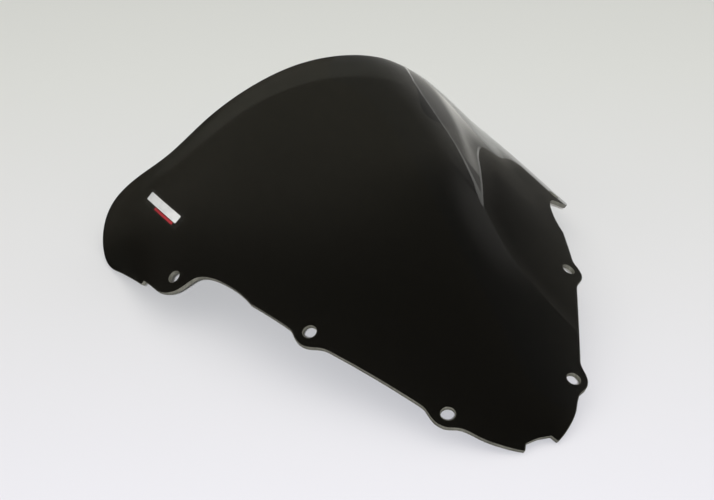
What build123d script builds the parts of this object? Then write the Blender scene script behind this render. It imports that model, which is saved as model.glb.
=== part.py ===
from build123d import *
import os

# Double-bubble windshield screen: one formed and trimmed sheet of tinted acrylic, with a
# small unlettered label on its left rear lobe. Millimetres, +Z up.
# The screen lies as it does on a flat table: it rests on the two nose corners and on
# the two rear lobes. The nose points to -Y, and +X and -X are the two sides.
# The origin is the bottom centre of the screen's bounding box.

os.makedirs("parts", exist_ok=True)

# ---------------------------------------------------------------- driving dimensions
sheet_thickness = 3.0
hole_diameter = 9.0
film_thickness = 0.12
print_thickness = 0.06

nose_to_origin = 201.97  # from the nose corners back to the origin, along Y
table_drop = -1.0  # height of the surface datum over the table

# Formed surface (outer skin). Control heights of a uniform cubic net, symmetric about
# X = 0. One row for each station across, from the centre out, and one column for each
# station along, from ahead of the nose to behind the lobes.
net_half_width = 202.5
net_front, net_rear = -22.5, 427.5
net = [
    [-17.97, 11.28, 26.52, 60.97, 107.13, 144.44, 149.34, 115.27, 91.05],
    [-17.97, 11.28, 26.52, 60.97, 107.13, 144.44, 149.34, 115.27, 91.05],
    [-9.24, 3.83, 21.81, 54.31, 97.55, 138.01, 149.25, 104.40, 83.15],
    [-7.80, -0.36, 16.97, 40.42, 75.64, 110.56, 131.37, 80.30, 67.77],
    [-11.11, -6.10, 4.36, 27.48, 41.91, 64.27, 81.24, 45.23, 47.70],
    [-16.85, -12.98, -4.69, 14.51, 21.11, 40.23, 38.59, 27.79, 31.74],
    [-23.74, -20.42, -13.21, 2.27, 9.67, -3.65, -5.73, 14.18, 21.28],
    [-31.07, -28.24, -22.48, -12.40, -15.24, -47.75, -42.58, -4.17, 8.87],
]

# Mounting holes, plan position of the centre on the outer skin (x to the side, y back
# from the nose corners): rear, middle and front pair.
hole_plan = [(155.48, 244.82), (97.38, 130.43), (44.48, 37.44)]

# Trim line in plan, right-hand half, from the middle of the rear edge to the nose.
rear_rim = [(0, 331.0), (26.9, 331.1), (53.5, 334.1), (77.9, 345.1), (95.7, 365.0),
            (110.6, 387.4), (132.1, 402.5), (158.0, 397.7), (176.2, 378.4),
            (183.6, 352.7), (182.6, 328.0), (179.6, 309.8)]
lobe_corner = (173.8, 270.6)
step_corner = (171.8, 271.2)
ear_line_start = (171.4, 268.6)
ear_line_end = (168.4, 249.6)
rear_ear_and_arch = [(168.4, 249.6), (166.3, 242.4), (162.2, 235.4), (156.5, 231.2),
                     (150.2, 229.8), (144.6, 228.4), (140.4, 224.9), (136.4, 219.3),
                     (132.5, 211.9), (129.0, 203.5), (126.0, 195.0), (123.5, 185.8),
                     (121.9, 177.0)]
middle_ear = [(108.8, 144.0), (107.3, 139.0), (107.3, 133.6), (106.7, 128.3),
              (104.4, 123.2), (100.6, 119.2), (96.0, 115.4), (92.2, 110.4)]
front_ear = [(57.4, 49.9), (55.7, 45.0), (55.2, 40.0), (54.3, 36.2), (52.0, 32.2),
             (48.6, 29.2), (44.8, 27.3), (41.2, 25.0), (38.2, 21.7)]
nose_side = [(38.2, 21.7), (32.9, 15.1), (26.8, 9.5), (19.2, 4.3), (11.4, 0.5)]
notch_corner = (8.7, 4.1)
notch_depth = 4.7

# Label, in its own plane: u runs towards the nose, v runs up the flank.
label_centre_plan = (-142.3, 315.9)
label_turn = (0.108, -0.993, 0.057)
film_size = (66.0, 12.6)
light_bar = (57.0, 6.8)
red_bar = (33.2, 2.1)
light_bar_at = (0.0, 0.0)
red_bar_at = (9.0, -4.9)
film_at = (0.8, -1.0)


# ---------------------------------------------------------------- formed surface
def spline_weights(t, count):
    """Weights of a clamped uniform cubic spline with `count` control values at t in 0..1."""
    spans = count - 3
    knots = [0.0] * 3 + [i / spans for i in range(spans + 1)] + [1.0] * 3
    t = min(max(t, 0.0), 1.0 - 1e-12)
    w = [1.0 if knots[i] <= t < knots[i + 1] else 0.0 for i in range(len(knots) - 1)]
    for d in range(1, 4):
        for i in range(len(knots) - 1 - d):
            a = knots[i + d] - knots[i]
            b = knots[i + d + 1] - knots[i + 1]
            left = (t - knots[i]) / a * w[i] if a else 0.0
            right = (knots[i + d + 1] - t) / b * w[i + 1] if b else 0.0
            w[i] = left + right
    return w[:count]


def skin_height(x, y):
    """Height of the outer skin at plan position x, y."""
    wx = spline_weights(abs(x) / net_half_width, len(net))
    wy = spline_weights((y - net_front) / (net_rear - net_front), len(net[0]))
    return sum(a * sum(b * h for b, h in zip(wy, row)) for a, row in zip(wx, net))


def on_skin(x, y):
    """Point of the outer skin, in the row's frame."""
    return Vector(x, y - nose_to_origin, skin_height(x, y) + table_drop)


def skin_normal(x, y):
    """Outward unit normal of the outer skin."""
    e = 0.05
    sx = (skin_height(x + e, y) - skin_height(x - e, y)) / (2 * e)
    sy = (skin_height(x, y + e) - skin_height(x, y - e)) / (2 * e)
    return Vector(-sx, -sy, 1).normalized()


def plan(points):
    """Plan points measured from the nose corners, moved to the row's origin."""
    return [(x, y - nose_to_origin) for x, y in points]


stations_x = [-199.5 + 399.0 * i / 38 for i in range(39)]
stations_y = [-14.0 + 432.0 * j / 42 for j in range(43)]
formed_face = Face.make_surface_from_array_of_points(
    [[on_skin(x, y) for y in stations_y] for x in stations_x],
    tol=0.002, min_deg=3, max_deg=3,
)

# ---------------------------------------------------------------- trim block
with BuildPart() as trim_block:
    with BuildSketch(Plane.XY.offset(-80)) as trim_sketch:
        with BuildLine() as trim_line:
            Spline(*plan(rear_rim), tangents=[(1, 0), (-4.9, -32.2)])
            Line(*plan([rear_rim[-1], lobe_corner]))
            Line(*plan([lobe_corner, step_corner]))
            Line(*plan([step_corner, ear_line_start]))
            Line(*plan([ear_line_start, ear_line_end]))
            Spline(*plan(rear_ear_and_arch), tangents=[(-3.0, -19.0), (-1.2, -8.8)])
            Line(*plan([rear_ear_and_arch[-1], middle_ear[0]]))
            Spline(*plan(middle_ear), tangents=[(-3.7, -9.3), (-5.0, -8.7)])
            Line(*plan([middle_ear[-1], front_ear[0]]))
            Spline(*plan(front_ear), tangents=[(-5.0, -8.7), (-6.3, -7.4)])
            Spline(*plan(nose_side), tangents=[(-6.3, -7.4), (-9.0, -3.4)])
            Line(*plan([nose_side[-1], notch_corner]))
            Line(*plan([notch_corner, (0, notch_depth)]))
            mirror(about=Plane.YZ)
        make_face()
        for corner, radius in ((lobe_corner, 1.4), (nose_side[-1], 1.0), (notch_corner, 1.5)):
            for side in (1, -1):
                near = (side * corner[0], corner[1] - nose_to_origin, -80)
                fillet(vertices().sort_by_distance(near)[0], radius)
    extrude(amount=320)

trimmed_face = (formed_face & trim_block.part).faces()[0]

# ---------------------------------------------------------------- screen shell
# Wall of even thickness below the outer skin, edges cut square to the sheet, six
# round holes bored square to the sheet.
inward = -1 if trimmed_face.normal_at(trimmed_face.center()).Z > 0 else 1
with BuildPart() as screen_shell:
    thicken(trimmed_face, amount=inward * sheet_thickness)
    for px, py in hole_plan:
        for side in (1, -1):
            with Locations(Plane(on_skin(side * px, py), z_dir=skin_normal(side * px, py))):
                Hole(hole_diameter / 2, depth=sheet_thickness * 2)
screen_shell.part.label = "screen_shell"
export_step(screen_shell.part, "parts/screen_shell.step")

# ---------------------------------------------------------------- label
label_origin = on_skin(*label_centre_plan)
label_normal = skin_normal(*label_centre_plan)
label_plane = Plane(label_origin, x_dir=Vector(*label_turn), z_dir=label_normal)


def label_patch(carrier, size, at, corner_radius):
    """Piece of the carrier face under a rounded rectangle of the label's plane."""
    with BuildPart() as block:
        with BuildSketch(label_plane.offset(-12)):
            with Locations(at):
                RectangleRounded(*size, corner_radius)
        extrude(amount=24)
    return (carrier & block.part).faces()[0]


def outward_amount(face, thickness):
    """Signed thickness that grows away from the screen."""
    return thickness if face.normal_at(face.center()).Z > 0 else -thickness


# Clear film, stuck on the outer skin
with BuildPart() as label_film:
    film_face = label_patch(formed_face, film_size, film_at, 1.6)
    thicken(film_face, amount=outward_amount(film_face, film_thickness))
label_film.part.label = "label_film"
export_step(label_film.part, "parts/label_film.step")

# Printed layers, on the film's top face
film_top = label_film.part.faces().sort_by(Axis(label_origin, label_normal))[-1]

with BuildPart() as label_print_light:
    light_face = label_patch(film_top, light_bar, light_bar_at, 0.8)
    thicken(light_face, amount=outward_amount(light_face, print_thickness))
label_print_light.part.label = "label_print_light"
export_step(label_print_light.part, "parts/label_print_light.step")

with BuildPart() as label_print_red:
    red_face = label_patch(film_top, red_bar, red_bar_at, 0.5)
    thicken(red_face, amount=outward_amount(red_face, print_thickness))
label_print_red.part.label = "label_print_red"
export_step(label_print_red.part, "parts/label_print_red.step")
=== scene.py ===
import math

import bpy
import numpy as np
from mathutils import Matrix, Vector
from mathutils.geometry import delaunay_2d_cdt


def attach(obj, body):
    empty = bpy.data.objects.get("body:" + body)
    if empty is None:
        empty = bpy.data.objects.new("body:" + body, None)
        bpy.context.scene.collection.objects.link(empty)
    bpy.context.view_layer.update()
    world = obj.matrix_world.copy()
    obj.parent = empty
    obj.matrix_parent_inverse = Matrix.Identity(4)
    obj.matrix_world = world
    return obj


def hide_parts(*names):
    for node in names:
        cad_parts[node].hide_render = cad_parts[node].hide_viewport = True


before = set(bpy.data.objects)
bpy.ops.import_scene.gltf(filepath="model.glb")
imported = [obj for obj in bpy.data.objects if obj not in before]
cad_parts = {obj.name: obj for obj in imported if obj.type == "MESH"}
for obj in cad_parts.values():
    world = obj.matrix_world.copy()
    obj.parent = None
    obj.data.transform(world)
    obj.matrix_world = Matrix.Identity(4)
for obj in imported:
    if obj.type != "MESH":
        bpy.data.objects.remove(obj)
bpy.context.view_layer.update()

# Windshield screen, in the row's frame. Lengths below are millimetres, and every mesh is
# written in metres. The visual shell follows the same formed surface and trim line as the
# CAD shell, with softened cut edges and exact surface normals.

MM = 0.001
scene = bpy.context.scene

# ---------------------------------------------------------------- driving dimensions
THICK = 3.0
HOLE_R = 4.5
EDGE_R = 0.38
NOSE_TO_ORIGIN = 201.97
TABLE_DROP = -1.0
NET_HALF = 202.5
NET_FRONT, NET_REAR = -22.5, 427.5
NET = np.array([
    [-17.97, 11.28, 26.52, 60.97, 107.13, 144.44, 149.34, 115.27, 91.05],
    [-17.97, 11.28, 26.52, 60.97, 107.13, 144.44, 149.34, 115.27, 91.05],
    [-9.24, 3.83, 21.81, 54.31, 97.55, 138.01, 149.25, 104.40, 83.15],
    [-7.80, -0.36, 16.97, 40.42, 75.64, 110.56, 131.37, 80.30, 67.77],
    [-11.11, -6.10, 4.36, 27.48, 41.91, 64.27, 81.24, 45.23, 47.70],
    [-16.85, -12.98, -4.69, 14.51, 21.11, 40.23, 38.59, 27.79, 31.74],
    [-23.74, -20.42, -13.21, 2.27, 9.67, -3.65, -5.73, 14.18, 21.28],
    [-31.07, -28.24, -22.48, -12.40, -15.24, -47.75, -42.58, -4.17, 8.87],
])
HOLES = [(155.48, 244.82), (97.38, 130.43), (44.48, 37.44)]

REAR_RIM = [(0, 331.0), (26.9, 331.1), (53.5, 334.1), (77.9, 345.1), (95.7, 365.0),
            (110.6, 387.4), (132.1, 402.5), (158.0, 397.7), (176.2, 378.4),
            (183.6, 352.7), (182.6, 328.0), (179.6, 309.8)]
LOBE_CORNER = (173.8, 270.6)
STEP_CORNER = (171.8, 271.2)
EAR_LINE_START = (171.4, 268.6)
REAR_EAR_AND_ARCH = [(168.4, 249.6), (166.3, 242.4), (162.2, 235.4), (156.5, 231.2),
                     (150.2, 229.8), (144.6, 228.4), (140.4, 224.9), (136.4, 219.3),
                     (132.5, 211.9), (129.0, 203.5), (126.0, 195.0), (123.5, 185.8),
                     (121.9, 177.0)]
MIDDLE_EAR = [(108.8, 144.0), (107.3, 139.0), (107.3, 133.6), (106.7, 128.3),
              (104.4, 123.2), (100.6, 119.2), (96.0, 115.4), (92.2, 110.4)]
FRONT_EAR = [(57.4, 49.9), (55.7, 45.0), (55.2, 40.0), (54.3, 36.2), (52.0, 32.2),
             (48.6, 29.2), (44.8, 27.3), (41.2, 25.0), (38.2, 21.7)]
NOSE_SIDE = [(38.2, 21.7), (32.9, 15.1), (26.8, 9.5), (19.2, 4.3), (11.4, 0.5)]
NOTCH_CORNER = (8.7, 4.1)
NOTCH_DEPTH = 4.7

LABEL_CENTRE = (-142.3, 315.9)
LABEL_TURN = (0.108, -0.993, 0.057)
FILM_SIZE, FILM_AT, FILM_R, FILM_T = (66.0, 12.6), (0.8, -1.0), 1.6, 0.12
LIGHT_BAR, LIGHT_AT = (57.0, 6.8), (0.0, 0.0)
RED_BAR, RED_AT = (33.2, 2.1), (9.0, -4.9)
PRINT_T = 0.06


# ---------------------------------------------------------------- formed surface
def spline_weights(t, count):
    spans = count - 3
    knots = [0.0] * 3 + [i / spans for i in range(spans + 1)] + [1.0] * 3
    t = np.clip(np.asarray(t, float), 0.0, 1.0 - 1e-12)
    w = [((knots[i] <= t) & (t < knots[i + 1])).astype(float) for i in range(len(knots) - 1)]
    for d in range(1, 4):
        for i in range(len(knots) - 1 - d):
            a = knots[i + d] - knots[i]
            b = knots[i + d + 1] - knots[i + 1]
            left = (t - knots[i]) / a * w[i] if a else 0.0
            right = (knots[i + d + 1] - t) / b * w[i + 1] if b else 0.0
            w[i] = left + right
    return np.stack(w[:count], -1)


def skin_height(x, y):
    wx = spline_weights(np.abs(x) / NET_HALF, NET.shape[0])
    wy = spline_weights((np.asarray(y) - NET_FRONT) / (NET_REAR - NET_FRONT), NET.shape[1])
    return np.einsum("...i,ij,...j->...", wx, NET, wy)


def on_skin(x, y):
    x, y = np.asarray(x, float), np.asarray(y, float)
    return np.stack([x, y - NOSE_TO_ORIGIN, skin_height(x, y) + TABLE_DROP], -1)


def skin_normal(x, y):
    e = 0.05
    x, y = np.asarray(x, float), np.asarray(y, float)
    sx = (skin_height(x + e, y) - skin_height(x - e, y)) / (2 * e)
    sy = (skin_height(x, y + e) - skin_height(x, y - e)) / (2 * e)
    n = np.stack([-sx, -sy, np.ones_like(sx)], -1)
    return n / np.linalg.norm(n, axis=-1, keepdims=True)


def unit(v):
    return v / np.maximum(np.linalg.norm(v, axis=-1, keepdims=True), 1e-12)


# ---------------------------------------------------------------- trim line
def clamped_curve(points, start, end, step):
    """Cubic curve through the points with the given end directions, sampled about every step."""
    p = np.array(points, float)
    h = np.linalg.norm(np.diff(p, axis=0), axis=1)
    n = len(p)
    a = np.zeros((n, n))
    rhs = np.zeros((n, 2))
    a[0, 0] = a[-1, -1] = 1.0
    rhs[0] = unit(np.array(start, float))
    rhs[-1] = unit(np.array(end, float))
    for i in range(1, n - 1):
        a[i, i - 1] = 1 / h[i - 1]
        a[i, i] = 2 * (1 / h[i - 1] + 1 / h[i])
        a[i, i + 1] = 1 / h[i]
        rhs[i] = 3 * ((p[i] - p[i - 1]) / h[i - 1] ** 2 + (p[i + 1] - p[i]) / h[i] ** 2)
    m = np.linalg.solve(a, rhs)
    out = []
    for i in range(n - 1):
        k = max(2, int(math.ceil(h[i] / step)))
        s = (np.arange(k) / k)[:, None]
        out.append((2 * s**3 - 3 * s**2 + 1) * p[i] + (s**3 - 2 * s**2 + s) * h[i] * m[i]
                   + (-2 * s**3 + 3 * s**2) * p[i + 1] + (s**3 - s**2) * h[i] * m[i + 1])
    out.append(p[-1:])
    return np.vstack(out)


def straight(a, b, step):
    a, b = np.array(a, float), np.array(b, float)
    k = max(2, int(math.ceil(np.linalg.norm(b - a) / step)))
    return a + (b - a) * (np.arange(k + 1) / k)[:, None]


def join(parts):
    line = [parts[0]]
    for part in parts[1:]:
        line.append(part[1:])
    return np.vstack(line)


def round_corner(line, corner, radius):
    """Replaces the corner of a polyline with an arc."""
    c = np.array(corner, float)
    i = int(np.argmin(np.linalg.norm(line - c, axis=1)))
    d0, d1 = unit(line[i] - line[i - 1]), unit(line[i + 1] - line[i])
    turn = math.acos(float(np.clip(d0 @ d1, -1, 1)))
    reach = radius * math.tan(turn / 2)

    def walk(direction):
        left, k = reach, i
        while True:
            step = np.linalg.norm(line[k + direction] - line[k])
            if step >= left:
                return k + direction, line[k] + (line[k + direction] - line[k]) * left / step
            left -= step
            k += direction

    before, p0 = walk(-1)
    after, p2 = walk(1)
    s = np.linspace(0, 1, 9)[:, None]
    w = math.cos(turn / 2)
    arc = ((1 - s)**2 * p0 + 2 * w * s * (1 - s) * c + s**2 * p2) / ((1 - s)**2 + 2 * w * s * (1 - s) + s**2)
    return np.vstack([line[:before + 1], arc, line[after:]])


STEP = 1.1
half = join([
    clamped_curve(REAR_RIM, (1, 0), (-4.9, -32.2), STEP),
    straight(REAR_RIM[-1], LOBE_CORNER, STEP),
    straight(LOBE_CORNER, STEP_CORNER, 0.4),
    straight(STEP_CORNER, EAR_LINE_START, 0.6),
    straight(EAR_LINE_START, REAR_EAR_AND_ARCH[0], STEP),
    clamped_curve(REAR_EAR_AND_ARCH, (-3.0, -19.0), (-1.2, -8.8), STEP),
    straight(REAR_EAR_AND_ARCH[-1], MIDDLE_EAR[0], STEP),
    clamped_curve(MIDDLE_EAR, (-3.7, -9.3), (-5.0, -8.7), STEP),
    straight(MIDDLE_EAR[-1], FRONT_EAR[0], STEP),
    clamped_curve(FRONT_EAR, (-5.0, -8.7), (-6.3, -7.4), STEP),
    clamped_curve(NOSE_SIDE, (-6.3, -7.4), (-9.0, -3.4), STEP),
    straight(NOSE_SIDE[-1], NOTCH_CORNER, 0.5),
    straight(NOTCH_CORNER, (0, NOTCH_DEPTH), 0.8),
])
half = round_corner(half, LOBE_CORNER, 1.4)
half = round_corner(half, STEP_CORNER, 0.5)
half = round_corner(half, NOSE_SIDE[-1], 1.0)
half = round_corner(half, NOTCH_CORNER, 1.5)
keep = np.concatenate([[True], np.linalg.norm(np.diff(half, axis=0), axis=1) > 0.02])
half = half[keep]
mirrored = half[1:-1][::-1] * np.array([-1.0, 1.0])
outline = np.vstack([half, mirrored])


# ---------------------------------------------------------------- mesh helpers
def new_object(name, verts, faces, materials, indices=None, normals=None):
    mesh = bpy.data.meshes.new(name)
    mesh.from_pydata((np.asarray(verts) * MM).tolist(), [], faces)
    mesh.polygons.foreach_set("use_smooth", [True] * len(mesh.polygons))
    for m in materials:
        mesh.materials.append(m)
    if indices is not None:
        mesh.polygons.foreach_set("material_index", indices)
    mesh.validate(verbose=False)
    mesh.update()
    if normals is not None:
        mesh.normals_split_custom_set_from_vertices(unit(np.asarray(normals)).tolist())
    obj = bpy.data.objects.new(name, mesh)
    scene.collection.objects.link(obj)
    return obj


def inside(points, loop):
    """Even-odd test of plan points against a closed loop."""
    x, y = points[:, 0], points[:, 1]
    hit = np.zeros(len(points), bool)
    a, b = loop, np.roll(loop, -1, axis=0)
    for (x0, y0), (x1, y1) in zip(a, b):
        if y0 == y1:
            continue
        cross = ((y0 > y) != (y1 > y)) & (x < (x1 - x0) * (y - y0) / (y1 - y0) + x0)
        hit ^= cross
    return hit


def clear_of(points, loop, gap):
    """True for the points more than gap from every loop vertex."""
    ok = np.ones(len(points), bool)
    for k in range(0, len(points), 4000):
        part = points[k:k + 4000]
        d = np.sqrt(((part[:, None, :] - loop[None, :, :]) ** 2).sum(-1)).min(1)
        ok[k:k + 4000] = d > gap
    return ok


def triangulate(loops, grid):
    """Triangles over the area inside loops[0] and outside the other loops."""
    pts = np.vstack(list(loops) + [grid])
    edges, at = [], 0
    for loop in loops:
        n = len(loop)
        edges += [(at + i, at + (i + 1) % n) for i in range(n)]
        at += n
    vs, _, fs, vmap, _, _ = delaunay_2d_cdt([Vector(p) for p in pts.tolist()], edges, [], 2, 1e-7)
    if len(vs) != len(pts):
        raise RuntimeError("the trim loops cross")
    back = [m[0] for m in vmap]
    out = []
    for f in fs:
        t = [back[i] for i in f]
        a, b, c = (pts[i] for i in t)
        if any(inside(((a + b + c) / 3)[None], loop)[0] for loop in loops[1:] if
               abs(a - loop.mean(0)).max() < 20):
            continue
        area = (b[0] - a[0]) * (c[1] - a[1]) - (b[1] - a[1]) * (c[0] - a[0])
        out.append(t if area > 0 else t[::-1])
    return out


ARC = [math.radians(a) for a in (0, 22.5, 45, 67.5, 90)]


def edge_rings(p, n, b, thick, r):
    """Rings of points and normals round a cut edge, from the outer skin to the inner skin."""
    rings = []
    for t in ARC:
        rings.append((p - b * r * (1 - math.sin(t)) - n * r * (1 - math.cos(t)),
                      b * math.sin(t) + n * math.cos(t)))
    for k in (0.33, 0.67):
        rings.append((p - n * (r + (thick - 2 * r) * k), b))
    for t in ARC[::-1]:
        rings.append((p - b * r * (1 - math.sin(t)) - n * (thick - r * (1 - math.cos(t))),
                      b * math.sin(t) - n * math.cos(t)))
    return rings


def bridge(first, second, closed_n, flip):
    """Quads between two closed rings of vertex numbers."""
    faces = []
    for i in range(closed_n):
        j = (i + 1) % closed_n
        q = [first[i], first[j], second[j], second[i]]
        faces.append(q[::-1] if flip else q)
    return faces


def loop_frames(points, normals, outward_sign):
    """Outward direction square to the edge, in the sheet's own plane, for a closed loop."""
    tangent = unit(np.roll(points, -1, axis=0) - np.roll(points, 1, axis=0))
    return unit(np.cross(normals, tangent) * outward_sign)


# ---------------------------------------------------------------- screen shell mesh
def build_shell():
    verts, norms, faces, kinds = [], [], [], []
    count = 0

    def add(points, normals):
        nonlocal count
        verts.append(points)
        norms.append(normals)
        ids = list(range(count, count + len(points)))
        count += len(points)
        return ids

    loops = []
    p = on_skin(outline[:, 0], outline[:, 1])
    n = skin_normal(outline[:, 0], outline[:, 1])
    loops.append((p, n, loop_frames(p, n, 1.0), False))
    for hx, hy in HOLES:
        for side in (1, -1):
            c = on_skin(side * hx, hy)
            a = skin_normal(side * hx, hy)
            e1 = unit(np.cross(a, np.array([0.0, 1.0, 0.0])))
            e2 = np.cross(a, e1)
            phi = np.linspace(0, 2 * math.pi, 64, endpoint=False)[:, None]
            q = c + HOLE_R * (np.cos(phi) * e1 + np.sin(phi) * e2)
            for _ in range(4):
                gap = skin_height(q[:, 0], q[:, 1] + NOSE_TO_ORIGIN) + TABLE_DROP - q[:, 2]
                q = q + (gap * a[2])[:, None] * a
            axis = np.repeat(a[None, :], len(q), axis=0)
            b = unit((c - q) - ((c - q) @ a)[:, None] * a)
            loops.append((q, axis, b, True))

    rings_all = []
    for pts, nn, bb, hole in loops:
        rings = edge_rings(pts, nn, bb, THICK, EDGE_R)
        if hole:
            local = skin_normal(pts[:, 0], pts[:, 1] + NOSE_TO_ORIGIN)
            rings[0] = (rings[0][0], local)
            rings[-1] = (rings[-1][0], -local)
        rings_all.append([add(r, m) for r, m in rings])

    plan_loops = [np.array([verts_xy for verts_xy in
                            (np.vstack(verts)[ids][:, :2])]) for ids in (r[0] for r in rings_all)]
    lo, hi = plan_loops[0].min(0), plan_loops[0].max(0)
    gx = np.arange(math.floor(lo[0]), hi[0] + 1, 2.0)
    gy = np.arange(math.floor(lo[1]), hi[1] + 1, 2.0)
    grid = np.stack(np.meshgrid(gx, gy, indexing="ij"), -1).reshape(-1, 2)
    ok = inside(grid, plan_loops[0])
    for loop in plan_loops[1:]:
        ok &= ~inside(grid, loop)
    grid = grid[ok]
    for loop in plan_loops:
        grid = grid[clear_of(grid, loop, 0.9)]
    top = on_skin(grid[:, 0], grid[:, 1] + NOSE_TO_ORIGIN)
    top_n = skin_normal(grid[:, 0], grid[:, 1] + NOSE_TO_ORIGIN)
    top_ids = add(top, top_n)
    low_ids = add(top - top_n * THICK, -top_n)

    tris = triangulate(plan_loops, grid)
    upper = [i for r in rings_all for i in r[0]] + top_ids
    lower = [i for r in rings_all for i in r[-1]] + low_ids
    for t in tris:
        faces.append([upper[i] for i in t])
        kinds.append(0)
        faces.append([lower[i] for i in t[::-1]])
        kinds.append(0)
    for (pts, _, _, hole), rings in zip(loops, rings_all):
        area = 0.5 * np.sum(pts[:, 0] * np.roll(pts[:, 1], -1) - np.roll(pts[:, 0], -1) * pts[:, 1])
        flip = (area > 0) != hole
        for k in range(len(rings) - 1):
            new = bridge(rings[k], rings[k + 1], len(pts), flip)
            faces += new
            kinds += [1] * len(new)
    return np.vstack(verts), faces, kinds, np.vstack(norms)


# ---------------------------------------------------------------- label meshes
label_origin = on_skin(*LABEL_CENTRE)
label_w = skin_normal(*LABEL_CENTRE)
label_u = np.array(LABEL_TURN)
label_u = unit(label_u - (label_u @ label_w) * label_w)
label_v = np.cross(label_w, label_u)


def label_to_skin(uv):
    q = label_origin + uv[:, :1] * label_u + uv[:, 1:] * label_v
    for _ in range(6):
        gap = skin_height(q[:, 0], q[:, 1] + NOSE_TO_ORIGIN) + TABLE_DROP - q[:, 2]
        q = q + (gap / label_w[2] * 0.9)[:, None] * label_w
    return q, skin_normal(q[:, 0], q[:, 1] + NOSE_TO_ORIGIN)


def rounded_rectangle(size, at, radius, step):
    hx, hy = size[0] / 2 - radius, size[1] / 2 - radius
    pts = []
    for cx, cy, a0 in ((hx, hy, 0), (-hx, hy, 90), (-hx, -hy, 180), (hx, -hy, 270)):
        for a in np.linspace(a0, a0 + 90, 9):
            pts.append((cx + radius * math.cos(math.radians(a)), cy + radius * math.sin(math.radians(a))))
    pts = np.array(pts)
    out = []
    for i in range(len(pts)):
        a, b = pts[i], pts[(i + 1) % len(pts)]
        k = max(1, int(round(np.linalg.norm(b - a) / step)))
        out += [a + (b - a) * j / k for j in range(k)]
    return np.array(out) + np.array(at)


def build_patch(size, at, radius, base, thick, r, step):
    """Closed thin sheet on the skin, standing from base to base + thick."""
    loop = rounded_rectangle(size, at, radius, step)
    p, n = label_to_skin(loop)
    b = loop_frames(p, n, -1.0)
    centre, _ = label_to_skin(np.array([at]))
    if np.mean(np.sum(b * (p - centre), axis=1)) < 0:
        b = -b
    p = p + n * (base + thick)
    rings = edge_rings(p, n, b, thick, r)
    verts, norms, ids, count = [], [], [], 0
    for q, m in rings:
        verts.append(q)
        norms.append(m)
        ids.append(list(range(count, count + len(q))))
        count += len(q)
    lo, hi = loop.min(0), loop.max(0)
    gu = np.arange(lo[0] + step, hi[0], step)
    gv = np.arange(lo[1] + step / 2, hi[1], step)
    grid = np.stack(np.meshgrid(gu, gv, indexing="ij"), -1).reshape(-1, 2)
    inner = (loop - loop.mean(0)) * (1 - 2 * r / np.array(size)) + loop.mean(0)
    grid = grid[inside(grid, inner)]
    grid = grid[clear_of(grid, inner, step * 0.45)]
    g, gn = label_to_skin(grid)
    verts += [g + gn * (base + thick), g + gn * base]
    norms += [gn, -gn]
    top_ids = list(range(count, count + len(g)))
    low_ids = list(range(count + len(g), count + 2 * len(g)))
    faces = []
    for t in triangulate([inner], grid):
        faces.append([(ids[0] + top_ids)[i] for i in t])
        faces.append([(ids[-1] + low_ids)[i] for i in t[::-1]])
    for k in range(len(rings) - 1):
        faces += bridge(ids[k], ids[k + 1], len(loop), True)
    return np.vstack(verts), faces, np.vstack(norms)


# ---------------------------------------------------------------- materials
class Nodes:
    """Small builder for a node tree."""

    def __init__(self, tree):
        self.tree = tree
        tree.nodes.clear()

    def add(self, kind, **values):
        node = self.tree.nodes.new(kind)
        for key, value in values.items():
            if hasattr(node, key):
                setattr(node, key, value)
            else:
                node.inputs[key.replace("_", " ")].default_value = value
        return node

    def link(self, a, b):
        self.tree.links.new(a, b)

    def math(self, op, a, b=None, clamp=False):
        node = self.tree.nodes.new("ShaderNodeMath")
        node.operation = op
        node.use_clamp = clamp
        for i, v in enumerate((a, b)):
            if v is None:
                continue
            if isinstance(v, (int, float)):
                node.inputs[i].default_value = v
            else:
                self.link(v, node.inputs[i])
        return node.outputs[0]

    def ramp(self, fac, stops, mode="LINEAR"):
        node = self.tree.nodes.new("ShaderNodeValToRGB")
        node.color_ramp.interpolation = mode
        els = node.color_ramp.elements
        while len(els) > 1:
            els.remove(els[-1])
        els[0].position = stops[0][0]
        els[0].color = (*stops[0][1], 1)
        for pos, col in stops[1:]:
            e = els.new(pos)
            e.color = (*col, 1)
        self.link(fac, node.inputs[0])
        return node.outputs[0]

    def noise(self, vector, scale, detail=3.0, rough=0.5):
        node = self.tree.nodes.new("ShaderNodeTexNoise")
        node.inputs["Scale"].default_value = scale
        node.inputs["Detail"].default_value = detail
        node.inputs["Roughness"].default_value = rough
        self.link(vector, node.inputs["Vector"])
        return node.outputs["Fac"]

    def remap(self, value, a, b, c, d):
        node = self.tree.nodes.new("ShaderNodeMapRange")
        node.inputs["From Min"].default_value = a
        node.inputs["From Max"].default_value = b
        node.inputs["To Min"].default_value = c
        node.inputs["To Max"].default_value = d
        self.link(value, node.inputs["Value"])
        return node.outputs["Result"]

    def stretched(self, vector, scale, turn=(0, 0, 0)):
        node = self.tree.nodes.new("ShaderNodeMapping")
        node.inputs["Scale"].default_value = scale
        node.inputs["Rotation"].default_value = turn
        self.link(vector, node.inputs["Vector"])
        return node.outputs["Vector"]

    def bump(self, height, strength, distance, normal=None):
        node = self.tree.nodes.new("ShaderNodeBump")
        node.inputs["Strength"].default_value = strength
        node.inputs["Distance"].default_value = distance
        self.link(height, node.inputs["Height"])
        if normal is not None:
            self.link(normal, node.inputs["Normal"])
        return node.outputs["Normal"]


def material(name):
    m = bpy.data.materials.new(name)
    m.use_nodes = True
    k = Nodes(m.node_tree)
    out = k.add("ShaderNodeOutputMaterial")
    shader = k.add("ShaderNodeBsdfPrincipled")
    k.link(shader.outputs[0], out.inputs[0])
    coord = k.add("ShaderNodeTexCoord").outputs["Object"]
    return m, k, shader, coord, out


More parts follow.
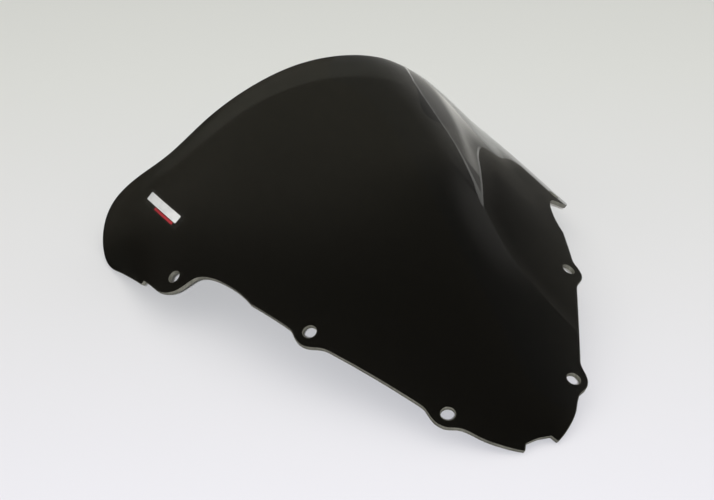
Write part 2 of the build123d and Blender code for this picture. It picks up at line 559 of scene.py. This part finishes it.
def scratches(k, coord, turn, scale, width):
    """Sparse hair-fine scratches running one way: 1 on a scratch, 0 elsewhere."""
    v = k.stretched(coord, (1.0, 0.02, 0.02), turn)
    fine = k.noise(v, scale, 2.0, 0.6)
    line = k.remap(fine, 0.5, 0.5 + width, 1.0, 0.0)
    low = k.remap(fine, 0.5 - width, 0.5, 0.0, 1.0)
    both = k.math("MULTIPLY", line, low, clamp=True)
    gate = k.remap(k.noise(coord, 19.0, 2.0, 0.5), 0.58, 0.66, 0.0, 1.0)
    return k.math("MULTIPLY", both, gate)


def acrylic_skin():
    """Glossy dark tinted acrylic, with faint handling haze, hairline scratches and dust."""
    m, k, s, coord, _ = material("tinted_acrylic_skin")
    s.inputs["IOR"].default_value = 1.49
    s.inputs["Transmission Weight"].default_value = 1.0
    drift = k.noise(coord, 5.0, 2.0, 0.5)
    tint = k.ramp(drift, [(0.3, (0.0350, 0.0340, 0.0290)), (0.7, (0.0395, 0.0385, 0.0325))])
    k.link(tint, s.inputs["Base Color"])
    haze = k.remap(k.noise(coord, 26.0, 5.0, 0.62), 0.45, 0.75, 0.0, 1.0)
    wipe = k.remap(k.noise(k.stretched(coord, (1.0, 0.12, 0.3), (0.2, 0.1, 0.7)), 60.0, 3.0, 0.5),
                   0.45, 0.8, 0.0, 1.0)
    scr = k.math("ADD", scratches(k, coord, (0.1, 0.2, 0.5), 900.0, 0.012),
                 scratches(k, coord, (0.3, -0.2, -0.9), 1100.0, 0.012), clamp=True)
    dust_cell = k.add("ShaderNodeTexVoronoi")
    dust_cell.inputs["Scale"].default_value = 240.0
    k.link(coord, dust_cell.inputs["Vector"])
    speck = k.remap(dust_cell.outputs["Distance"], 0.03, 0.07, 1.0, 0.0)
    pick = k.remap(k.noise(coord, 130.0, 1.0, 0.5), 0.70, 0.72, 0.0, 1.0)
    dust = k.math("MULTIPLY", speck, pick, clamp=True)
    rough = k.math("ADD", k.math("MULTIPLY", k.math("MULTIPLY", haze, wipe), 0.035), 0.018)
    rough = k.math("ADD", rough, k.math("MULTIPLY", scr, 0.12))
    rough = k.math("ADD", rough, k.math("MULTIPLY", dust, 0.35))
    k.link(rough, s.inputs["Roughness"])
    wave = k.noise(coord, 9.0, 2.0, 0.4)
    n = k.bump(wave, 0.05, 0.0006)
    n = k.bump(k.math("ADD", k.math("MULTIPLY", scr, -0.4), dust), 0.08, 0.00002, n)
    k.link(n, s.inputs["Normal"])
    return m


def acrylic_cut():
    """Sawn and scraped edge of the sheet: frosted, with fine tool marks across it."""
    m, k, s, coord, _ = material("tinted_acrylic_cut_edge")
    marks = k.noise(k.stretched(coord, (1.0, 1.0, 0.08)), 900.0, 3.0, 0.65)
    blotch = k.noise(coord, 60.0, 4.0, 0.55)
    mix = k.math("ADD", k.math("MULTIPLY", marks, 0.55), k.math("MULTIPLY", blotch, 0.45))
    col = k.ramp(mix, [(0.30, (0.060, 0.058, 0.047)), (0.52, (0.125, 0.121, 0.100)),
                       (0.72, (0.215, 0.209, 0.176))])
    k.link(col, s.inputs["Base Color"])
    s.inputs["IOR"].default_value = 1.49
    k.link(k.remap(marks, 0.3, 0.7, 0.32, 0.6), s.inputs["Roughness"])
    k.link(k.bump(marks, 0.35, 0.00012), s.inputs["Normal"])
    return m


def acrylic_rear_edge_painted_shade():
    """Rear edge of the sheet, the cut edge darkened to near black: painted shade where the rim is seen edge-on, with
    faint rub marks.
    """
    m, k, s, coord, _ = material("tinted_acrylic_rear_edge_painted_shade")
    rub = k.noise(k.stretched(coord, (1.0, 1.0, 0.2)), 300.0, 3.0, 0.6)
    col = k.ramp(rub, [(0.3, (0.005, 0.005, 0.004)), (0.6, (0.009, 0.009, 0.007)), (0.8, (0.022, 0.021, 0.018))])
    k.link(col, s.inputs["Base Color"])
    s.inputs["IOR"].default_value = 1.3
    k.link(k.remap(rub, 0.3, 0.7, 0.18, 0.34), s.inputs["Roughness"])
    k.link(k.bump(rub, 0.2, 0.00006), s.inputs["Normal"])
    return m


def rear_edge(verts, faces, kinds):
    """Give the edge faces that look rearward along the back rim the darkened edge material, painted shade."""
    out = list(kinds)
    pts = np.asarray(verts, float)
    edge = [i for i, kind in enumerate(kinds) if kind == 1]
    q = np.array([[pts[faces[i][j]] for j in (0, 1, 2, -1)] for i in edge])
    n = np.cross(q[:, 2] - q[:, 0], q[:, 3] - q[:, 1])
    size = np.linalg.norm(n, axis=1) + 1e-12
    back = (q[:, :, 1].mean(1) > 126.0) & (n[:, 1] > -0.1 * size)
    for i in np.flatnonzero(back):
        out[edge[i]] = 2
    return out


def film_material():
    """Clear adhesive film: glossy, slightly milky, with tiny trapped air specks."""
    m, k, s, coord, _ = material("clear_label_film")
    s.inputs["IOR"].default_value = 1.22
    haze = k.noise(coord, 210.0, 4.0, 0.6)
    air = k.remap(k.noise(coord, 900.0, 1.0, 0.5), 0.72, 0.76, 0.0, 1.0)
    col = k.ramp(haze, [(0.3, (0.80, 0.80, 0.79)), (0.7, (0.90, 0.90, 0.89))])
    k.link(col, s.inputs["Base Color"])
    s.inputs["Transmission Weight"].default_value = 0.995
    rough = k.math("ADD", k.remap(haze, 0.3, 0.8, 0.03, 0.09), k.math("MULTIPLY", air, 0.2))
    k.link(rough, s.inputs["Roughness"])
    k.link(k.bump(k.math("ADD", haze, air), 0.12, 0.00003), s.inputs["Normal"])
    return m


def ink_material(name, dark, mid, light, rub):
    """Screen-printed ink: dense, satin, with pinholes and rubbed patches."""
    m, k, s, coord, _ = material(name)
    grain = k.noise(coord, 1500.0, 2.0, 0.6)
    cloud = k.noise(coord, 120.0, 4.0, 0.6)
    mix = k.math("ADD", k.math("MULTIPLY", grain, 0.45), k.math("MULTIPLY", cloud, 0.55))
    col = k.ramp(mix, [(0.30, dark), (0.50, mid), (0.72, light)])
    pin = k.remap(k.noise(coord, 2600.0, 1.0, 0.5), 0.74, 0.78, 0.0, rub)
    blend = k.add("ShaderNodeMix", data_type="RGBA")
    k.link(pin, blend.inputs[0])
    k.link(col, blend.inputs[6])
    blend.inputs[7].default_value = (0.02, 0.02, 0.018, 1)
    k.link(blend.outputs[2], s.inputs["Base Color"])
    k.link(k.remap(cloud, 0.3, 0.7, 0.28, 0.46), s.inputs["Roughness"])
    s.inputs["IOR"].default_value = 1.5
    k.link(k.bump(mix, 0.25, 0.00004), s.inputs["Normal"])
    return m


# ---------------------------------------------------------------- the object
skin_mat, cut_mat, rear_edge_shade_mat = acrylic_skin(), acrylic_cut(), acrylic_rear_edge_painted_shade()
v, f, kinds, nn = build_shell()
kinds = rear_edge(v, f, kinds)
shell = new_object("screen_shell_formed_sheet", v, f, [skin_mat, cut_mat, rear_edge_shade_mat], kinds, nn)
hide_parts("screen_shell")
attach(shell, "root")

GAP = 0.012
v, f, nn = build_patch(FILM_SIZE, FILM_AT, FILM_R, GAP, FILM_T - GAP, 0.04, 1.2)
film = new_object("label_clear_film", v, f, [film_material()], None, nn)
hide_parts("label_film")
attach(film, "root")

v, f, nn = build_patch(LIGHT_BAR, LIGHT_AT, 0.8, FILM_T + 0.004, PRINT_T - 0.004, 0.02, 0.9)
light_ink = ink_material("light_ink", (0.50, 0.50, 0.49), (0.66, 0.66, 0.65), (0.78, 0.78, 0.77), 0.5)
light_bar = new_object("label_light_bar", v, f, [light_ink], None, nn)
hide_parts("label_print_light")
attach(light_bar, "root")

v, f, nn = build_patch(RED_BAR, RED_AT, 0.5, FILM_T + 0.004, PRINT_T - 0.004, 0.02, 0.7)
red_ink = ink_material("red_ink", (0.22, 0.012, 0.018), (0.34, 0.020, 0.028), (0.45, 0.035, 0.045), 0.4)
red_bar = new_object("label_red_bar", v, f, [red_ink], None, nn)
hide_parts("label_print_red")
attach(red_bar, "root")

# ---------------------------------------------------------------- stage
CAM_AT = Vector((-0.33035, -0.70640, 0.45609))
CAM_BACK = Vector((-0.34227, -0.81268, 0.47160)).normalized()
CAM_RIGHT = Vector((0.91765, -0.39697, -0.01808))
CAM_RIGHT = (CAM_RIGHT - CAM_RIGHT.dot(CAM_BACK) * CAM_BACK).normalized()
CAM_UP = CAM_BACK.cross(CAM_RIGHT)
CAM_LENS = 61.99
AMBIENT = (0.50, 0.49, 0.455)
LAMP_POWER, LAMP_COLOUR = 44.0, (0.95, 0.98, 1.0)
ROOM_TONE = 0.085


def stage_mesh(name, verts, faces):
    mesh = bpy.data.meshes.new(name)
    mesh.from_pydata(verts, [], faces)
    obj = bpy.data.objects.new(name, mesh)
    scene.collection.objects.link(obj)
    return obj


floor = stage_mesh("floor", [(-3, -3, -0.0002), (3, -3, -0.0002), (3, 2.2, -0.0002), (-3, 2.2, -0.0002)], [(0, 1, 2, 3)])
fm, k, s, coord, fout = material("pale_floor")
geo = k.add("ShaderNodeNewGeometry").outputs["Position"]
sep = k.add("ShaderNodeSeparateXYZ")
k.link(geo, sep.inputs[0])
# painted light: the floor's colour is graded with depth, bluish near the camera and warmer further back, standing in
# for the cool front lamp and the warm room light
depth = k.math("ADD", k.math("MULTIPLY", sep.outputs[0], 0.388), k.math("MULTIPLY", sep.outputs[1], 0.922))
painted_light_tone = k.ramp(k.remap(depth, -0.6, 1.2, 0.0, 1.0),
              [(0.0, (0.765, 0.748, 0.812)), (0.2, (0.771, 0.756, 0.808)), (0.35, (0.785, 0.777, 0.795)),
               (0.60, (0.800, 0.805, 0.790)), (1.0, (0.800, 0.810, 0.790))])
k.link(painted_light_tone, s.inputs["Base Color"])
s.inputs["Roughness"].default_value = 0.8
s.inputs["Specular IOR Level"].default_value = 0.1
# in the gloss the floor shows only where it is seen steeply, to the object's right
look = k.add("ShaderNodeSeparateXYZ")
k.link(k.add("ShaderNodeNewGeometry").outputs["Incoming"], look.inputs[0])
shallow = k.remap(look.outputs[2], 0.19, 0.14, 0.0, 1.0)
leftward = k.remap(sep.outputs[0], 0.22, 0.10, 0.0, 1.0)
path = k.add("ShaderNodeLightPath")
mirror = k.math("MULTIPLY", path.outputs["Is Glossy Ray"], k.math("SUBTRACT", 1.0, path.outputs["Is Transmission Ray"]))
hide = k.math("MULTIPLY", k.math("MAXIMUM", shallow, leftward), mirror)
clear = k.add("ShaderNodeBsdfTransparent")
blend = k.add("ShaderNodeMixShader")
k.link(hide, blend.inputs[0])
k.link(s.outputs[0], blend.inputs[1])
k.link(clear.outputs[0], blend.inputs[2])
k.link(blend.outputs[0], fout.inputs[0])
floor.data.materials.append(fm)

# painted reflection: a glowing wedge-shaped panel to the right, seen only in the gloss, its glow shaped into the
# streaks the sheet reflects
CARD_AZ, CARD_EL, CARD_AWAY = math.radians(55.0), math.radians(8.0), 2.5
CARD_N = Vector((math.sin(CARD_AZ) * math.cos(CARD_EL), math.cos(CARD_AZ) * math.cos(CARD_EL), math.sin(CARD_EL)))
CARD_U = Vector((math.cos(CARD_AZ), -math.sin(CARD_AZ), 0.0))
CARD_W = CARD_U.cross(CARD_N)
CARD_O = Vector((0.07, 0.02, 0.08)) + CARD_N * CARD_AWAY
LINE_A = np.array([(-1.30, -0.93), (-1.075, -0.563), (-0.80, -0.20), (-0.543, 0.082), (-0.286, 0.262), (-0.05, 0.350),
                   (0.121, 0.398), (0.230, 0.445), (0.340, 0.532), (0.433, 0.628), (0.514, 0.727), (0.650, 0.930)])
LINE_B = np.array([(0.650, 0.930), (0.530, 0.715), (0.413, 0.526), (0.234, 0.251), (0.090, 0.052), (-0.073, -0.168),
                   (-0.230, -0.398), (-0.290, -0.478), (-0.400, -0.635), (-0.490, -0.750), (-0.60, -0.89)])
RIDGE = np.array([(-1.25, -1.22), (-0.994, -0.971), (-0.595, -0.557), (-0.435, -0.406), (-0.278, -0.261),
                  (-0.072, -0.042), (0.058, 0.096), (0.172, 0.232), (0.304, 0.405)])


def on_card(p, lift=0.0):
    return CARD_O + CARD_U * float(p[0]) + CARD_W * float(p[1]) - CARD_N * lift


def away(points, line):
    """Distance from points to a polyline, positive on its left."""
    a, d = line[:-1], line[1:] - line[:-1]
    t = np.clip(((points[:, None] - a) * d).sum(2) / (d * d).sum(1), 0, 1)
    gap = points[:, None] - (a + t[..., None] * d)
    dist = np.hypot(gap[..., 0], gap[..., 1])
    i = dist.argmin(1)
    n = np.arange(len(points))
    side = d[i, 0] * gap[n, i, 1] - d[i, 1] * gap[n, i, 0]
    return np.where(side >= 0, 1, -1) * dist[n, i]


def glow_material(name, strength, colour):
    m = bpy.data.materials.new(name)
    m.use_nodes = True
    kk = Nodes(m.node_tree)
    o = kk.add("ShaderNodeOutputMaterial")
    e = kk.add("ShaderNodeEmission")
    e.inputs["Color"].default_value = (*colour, 1)
    if strength is None:
        kk.link(kk.add("ShaderNodeAttribute", attribute_name="glow").outputs["Fac"], e.inputs["Strength"])
    else:
        e.inputs["Strength"].default_value = strength
    kk.link(e.outputs[0], o.inputs[0])
    return m


def reflection_only(obj):
    obj.visible_camera = obj.visible_diffuse = obj.visible_transmission = obj.visible_shadow = False


def glow_mesh(name, verts, faces, values, colour):
    """Glowing card seen only in the gloss, a painted reflection, with its own strength at each vertex."""
    obj = stage_mesh(name, verts, faces)
    layer = obj.data.attributes.new("glow", "FLOAT", "POINT")
    layer.data.foreach_set("value", np.asarray(values, np.float32))
    obj.data.materials.append(glow_material(name, None, colour))
    reflection_only(obj)
    return obj


def painted_highlight_strip(name, line, width, strength, place):
    """Thin glowing strip along a line, seen only in the gloss: a painted highlight line."""
    d = np.gradient(line, axis=0)
    d /= np.hypot(d[:, 0], d[:, 1])[:, None]
    n = np.c_[-d[:, 1], d[:, 0]] * width / 2
    c = len(line)
    glow_mesh(name, [place(p) for p in line + n] + [place(p) for p in line - n],
              [(i, i + 1, c + i + 1, c + i) for i in range(c - 1)], np.r_[strength, strength], (1.0, 0.99, 0.95))


def painted_reflection_card():
    us, ws = np.arange(-1.7, 1.9, 0.025), np.arange(-1.0, 2.6, 0.025)
    g = np.stack(np.meshgrid(us, ws, indexing="ij"), -1).reshape(-1, 2)
    da, db = away(g, LINE_A), away(g, LINE_B)
    # inside the wedge: below the first line and above the second
    crest = np.abs(away(g, RIDGE))
    # painted highlight and shade in the reflection: a bright ridge along RIDGE, a darker band along the second line,
    # and glow fading away from the first line
    width = 0.035 + 0.10 * np.clip((-0.1 - g[:, 1]) / 0.6, 0, 1)
    body = 0.56 + 0.70 * np.exp(-(crest / width) ** 2)
    body = body - 0.30 * np.exp(-(db / 0.06) ** 2) * np.clip((-0.10 - g[:, 1]) / 0.25, 0, 1)
    near = np.argmin(((g[:, None] - LINE_A) ** 2).sum(2), 1)
    along = LINE_A[near, 1]
    above = ROOM_TONE + np.interp(along, [0.45, 0.93], [0.25, 0.10]) * np.exp(
        -(np.abs(da) / np.interp(along, [0.45, 0.93], [0.42, 0.16])) ** 1.4)
    tail = away(g, np.array([(0.65, 0.93), (1.25, 2.1)]))
    tail = 0.22 * np.exp(-(tail / 0.10) ** 2) * np.clip(1.15 - (g[:, 1] - 0.93) / 1.3, 0, 1) * (g[:, 1] > 0.9)
    value = np.where((da < 0) & (g[:, 1] < 0.93), body, np.maximum(above, ROOM_TONE + tail))
    verts = [on_card(p) for p in g]
    r, c = len(us), len(ws)
    faces = [(i * c + j, (i + 1) * c + j, (i + 1) * c + j + 1, i * c + j + 1) for i in range(r - 1) for j in range(c - 1)]
    glow_mesh("painted_reflection_card", verts, faces, value, (1.0, 0.985, 0.93))


def painted_reflection_shade_card():
    """Dimly glowing panel closer in, seen only in the gloss: painted reflected shade, with a brighter border painted as
    the lower arm of the reflected wedge.
    """
    border = round_line(SHADE, 0.004)
    c = len(border)
    inner = border - SHADE_MID
    inner = SHADE_MID + inner * 0.55
    first = np.hypot(*(border - inner).T)
    painted_highlight_border = np.full(c, SHADE_TONE + 0.085)
    mid = border + (inner - border) * np.minimum(0.03 / first, 0.9)[:, None]
    rings = [border, mid, inner]
    verts = [beside(p, 0.0) for ring in rings for p in ring] + [beside(SHADE_MID, 0.0)]
    values = np.r_[painted_highlight_border, np.full(2 * c + 1, SHADE_TONE)]
    faces = [(r * c + i, r * c + (i + 1) % c, (r + 1) * c + (i + 1) % c, (r + 1) * c + i) for r in range(2) for i in range(c)]
    faces += [(2 * c + i, 2 * c + (i + 1) % c, 3 * c) for i in range(c)]
    glow_mesh("painted_reflection_shade_card", verts, faces, values, (1.0, 0.97, 0.88))


def round_line(points, step):
    """Points every step along a closed outline."""
    out = []
    for a, b in zip(points, np.roll(points, -1, axis=0)):
        n = max(1, int(np.hypot(*(b - a)) / step))
        out.append(a + (b - a) * (np.arange(n) / n)[:, None])
    return np.vstack(out)


def beside(p, lift=0.0):
    return Vector((0.32 - lift, float(p[0]), float(p[1])))


SHADE_ARM = np.array([(0.074, 0.221), (0.096, 0.2005), (0.118, 0.181), (0.136, 0.1665), (0.152, 0.153), (0.179, 0.133),
                      (0.195, 0.1205), (0.209, 0.108), (0.230, 0.089), (0.247, 0.072), (0.261, 0.0565), (0.269, 0.044),
                      (0.272, 0.030)])
SHADE = np.vstack([SHADE_ARM, [(0.272, -0.060), (-0.10, -0.060), (-0.25, 0.10), (-0.25, 0.23), (0.02, 0.235)]])
SHADE_MID = np.array((0.09, 0.06))
SHADE_TONE = 0.105

painted_reflection_card()
painted_reflection_shade_card()
painted_highlight_strip("painted_highlight_line_a", LINE_A, 0.019, np.interp(LINE_A[:, 1], [0.60, 0.93], [1.30, 0.90]), lambda p: on_card(p, 0.02))
painted_highlight_strip("painted_highlight_line_b", SHADE_ARM[:10], 0.0032, np.interp(np.arange(10), [7, 9], [1.15, 0.45]), lambda p: beside(p, 0.002))

world = bpy.data.worlds.new("studio")
scene.world = world
world.use_nodes = True
k = Nodes(world.node_tree)
wout = k.add("ShaderNodeOutputWorld")
bg = k.add("ShaderNodeBackground")
k.link(bg.outputs[0], wout.inputs[0])
direction = k.add("ShaderNodeTexCoord").outputs["Generated"]
sep = k.add("ShaderNodeSeparateXYZ")
k.link(direction, sep.inputs[0])
up = sep.outputs[2]
room = k.ramp(k.remap(up, -0.1, 1.0, 0.0, 1.0),
              [(0.0, (0.022, 0.021, 0.017)), (0.20, (0.050, 0.045, 0.036)), (0.45, (0.098, 0.090, 0.074)),
               (1.0, (0.100, 0.092, 0.076))])
path = k.add("ShaderNodeLightPath")
glossy = path.outputs["Is Glossy Ray"]
mix = k.add("ShaderNodeMix", data_type="RGBA")
k.link(glossy, mix.inputs[0])
mix.inputs[6].default_value = (*AMBIENT, 1)
k.link(room, mix.inputs[7])
k.link(mix.outputs[2], bg.inputs["Color"])


def small_lamp(name, place, radius, power, colour):
    """Small lamp whose light doesn't fall off with distance, so the floor stays even."""
    data = bpy.data.lights.new(name, "POINT")
    data.shadow_soft_size = radius
    data.energy = power
    data.color = colour
    data.use_nodes = True
    tree = data.node_tree
    tree.nodes.clear()
    out = tree.nodes.new("ShaderNodeOutputLight")
    emit = tree.nodes.new("ShaderNodeEmission")
    fall = tree.nodes.new("ShaderNodeLightFalloff")
    fall.inputs["Strength"].default_value = 1.0
    tree.links.new(fall.outputs["Constant"], emit.inputs["Strength"])
    tree.links.new(emit.outputs[0], out.inputs[0])
    obj = bpy.data.objects.new(name, data)
    obj.location = place
    obj.visible_glossy = False
    scene.collection.objects.link(obj)
    return obj


small_lamp("front_lamp", CAM_AT - CAM_RIGHT * 0.005 + CAM_UP * 0.009 + CAM_BACK * 0.235, 0.007, LAMP_POWER, LAMP_COLOUR)

# ---------------------------------------------------------------- camera
cam_data = bpy.data.cameras.new("camera")
cam_data.sensor_fit = "HORIZONTAL"
cam_data.sensor_width = 36.0
cam_data.lens = CAM_LENS
cam_data.clip_start, cam_data.clip_end = 0.01, 50.0
cam = bpy.data.objects.new("camera", cam_data)
cam.matrix_world = Matrix((
    (CAM_RIGHT.x, CAM_UP.x, CAM_BACK.x, CAM_AT.x),
    (CAM_RIGHT.y, CAM_UP.y, CAM_BACK.y, CAM_AT.y),
    (CAM_RIGHT.z, CAM_UP.z, CAM_BACK.z, CAM_AT.z),
    (0, 0, 0, 1),
))
scene.collection.objects.link(cam)
scene.camera = cam
scene.view_settings.view_transform = "Standard"
scene.view_settings.look = "None"
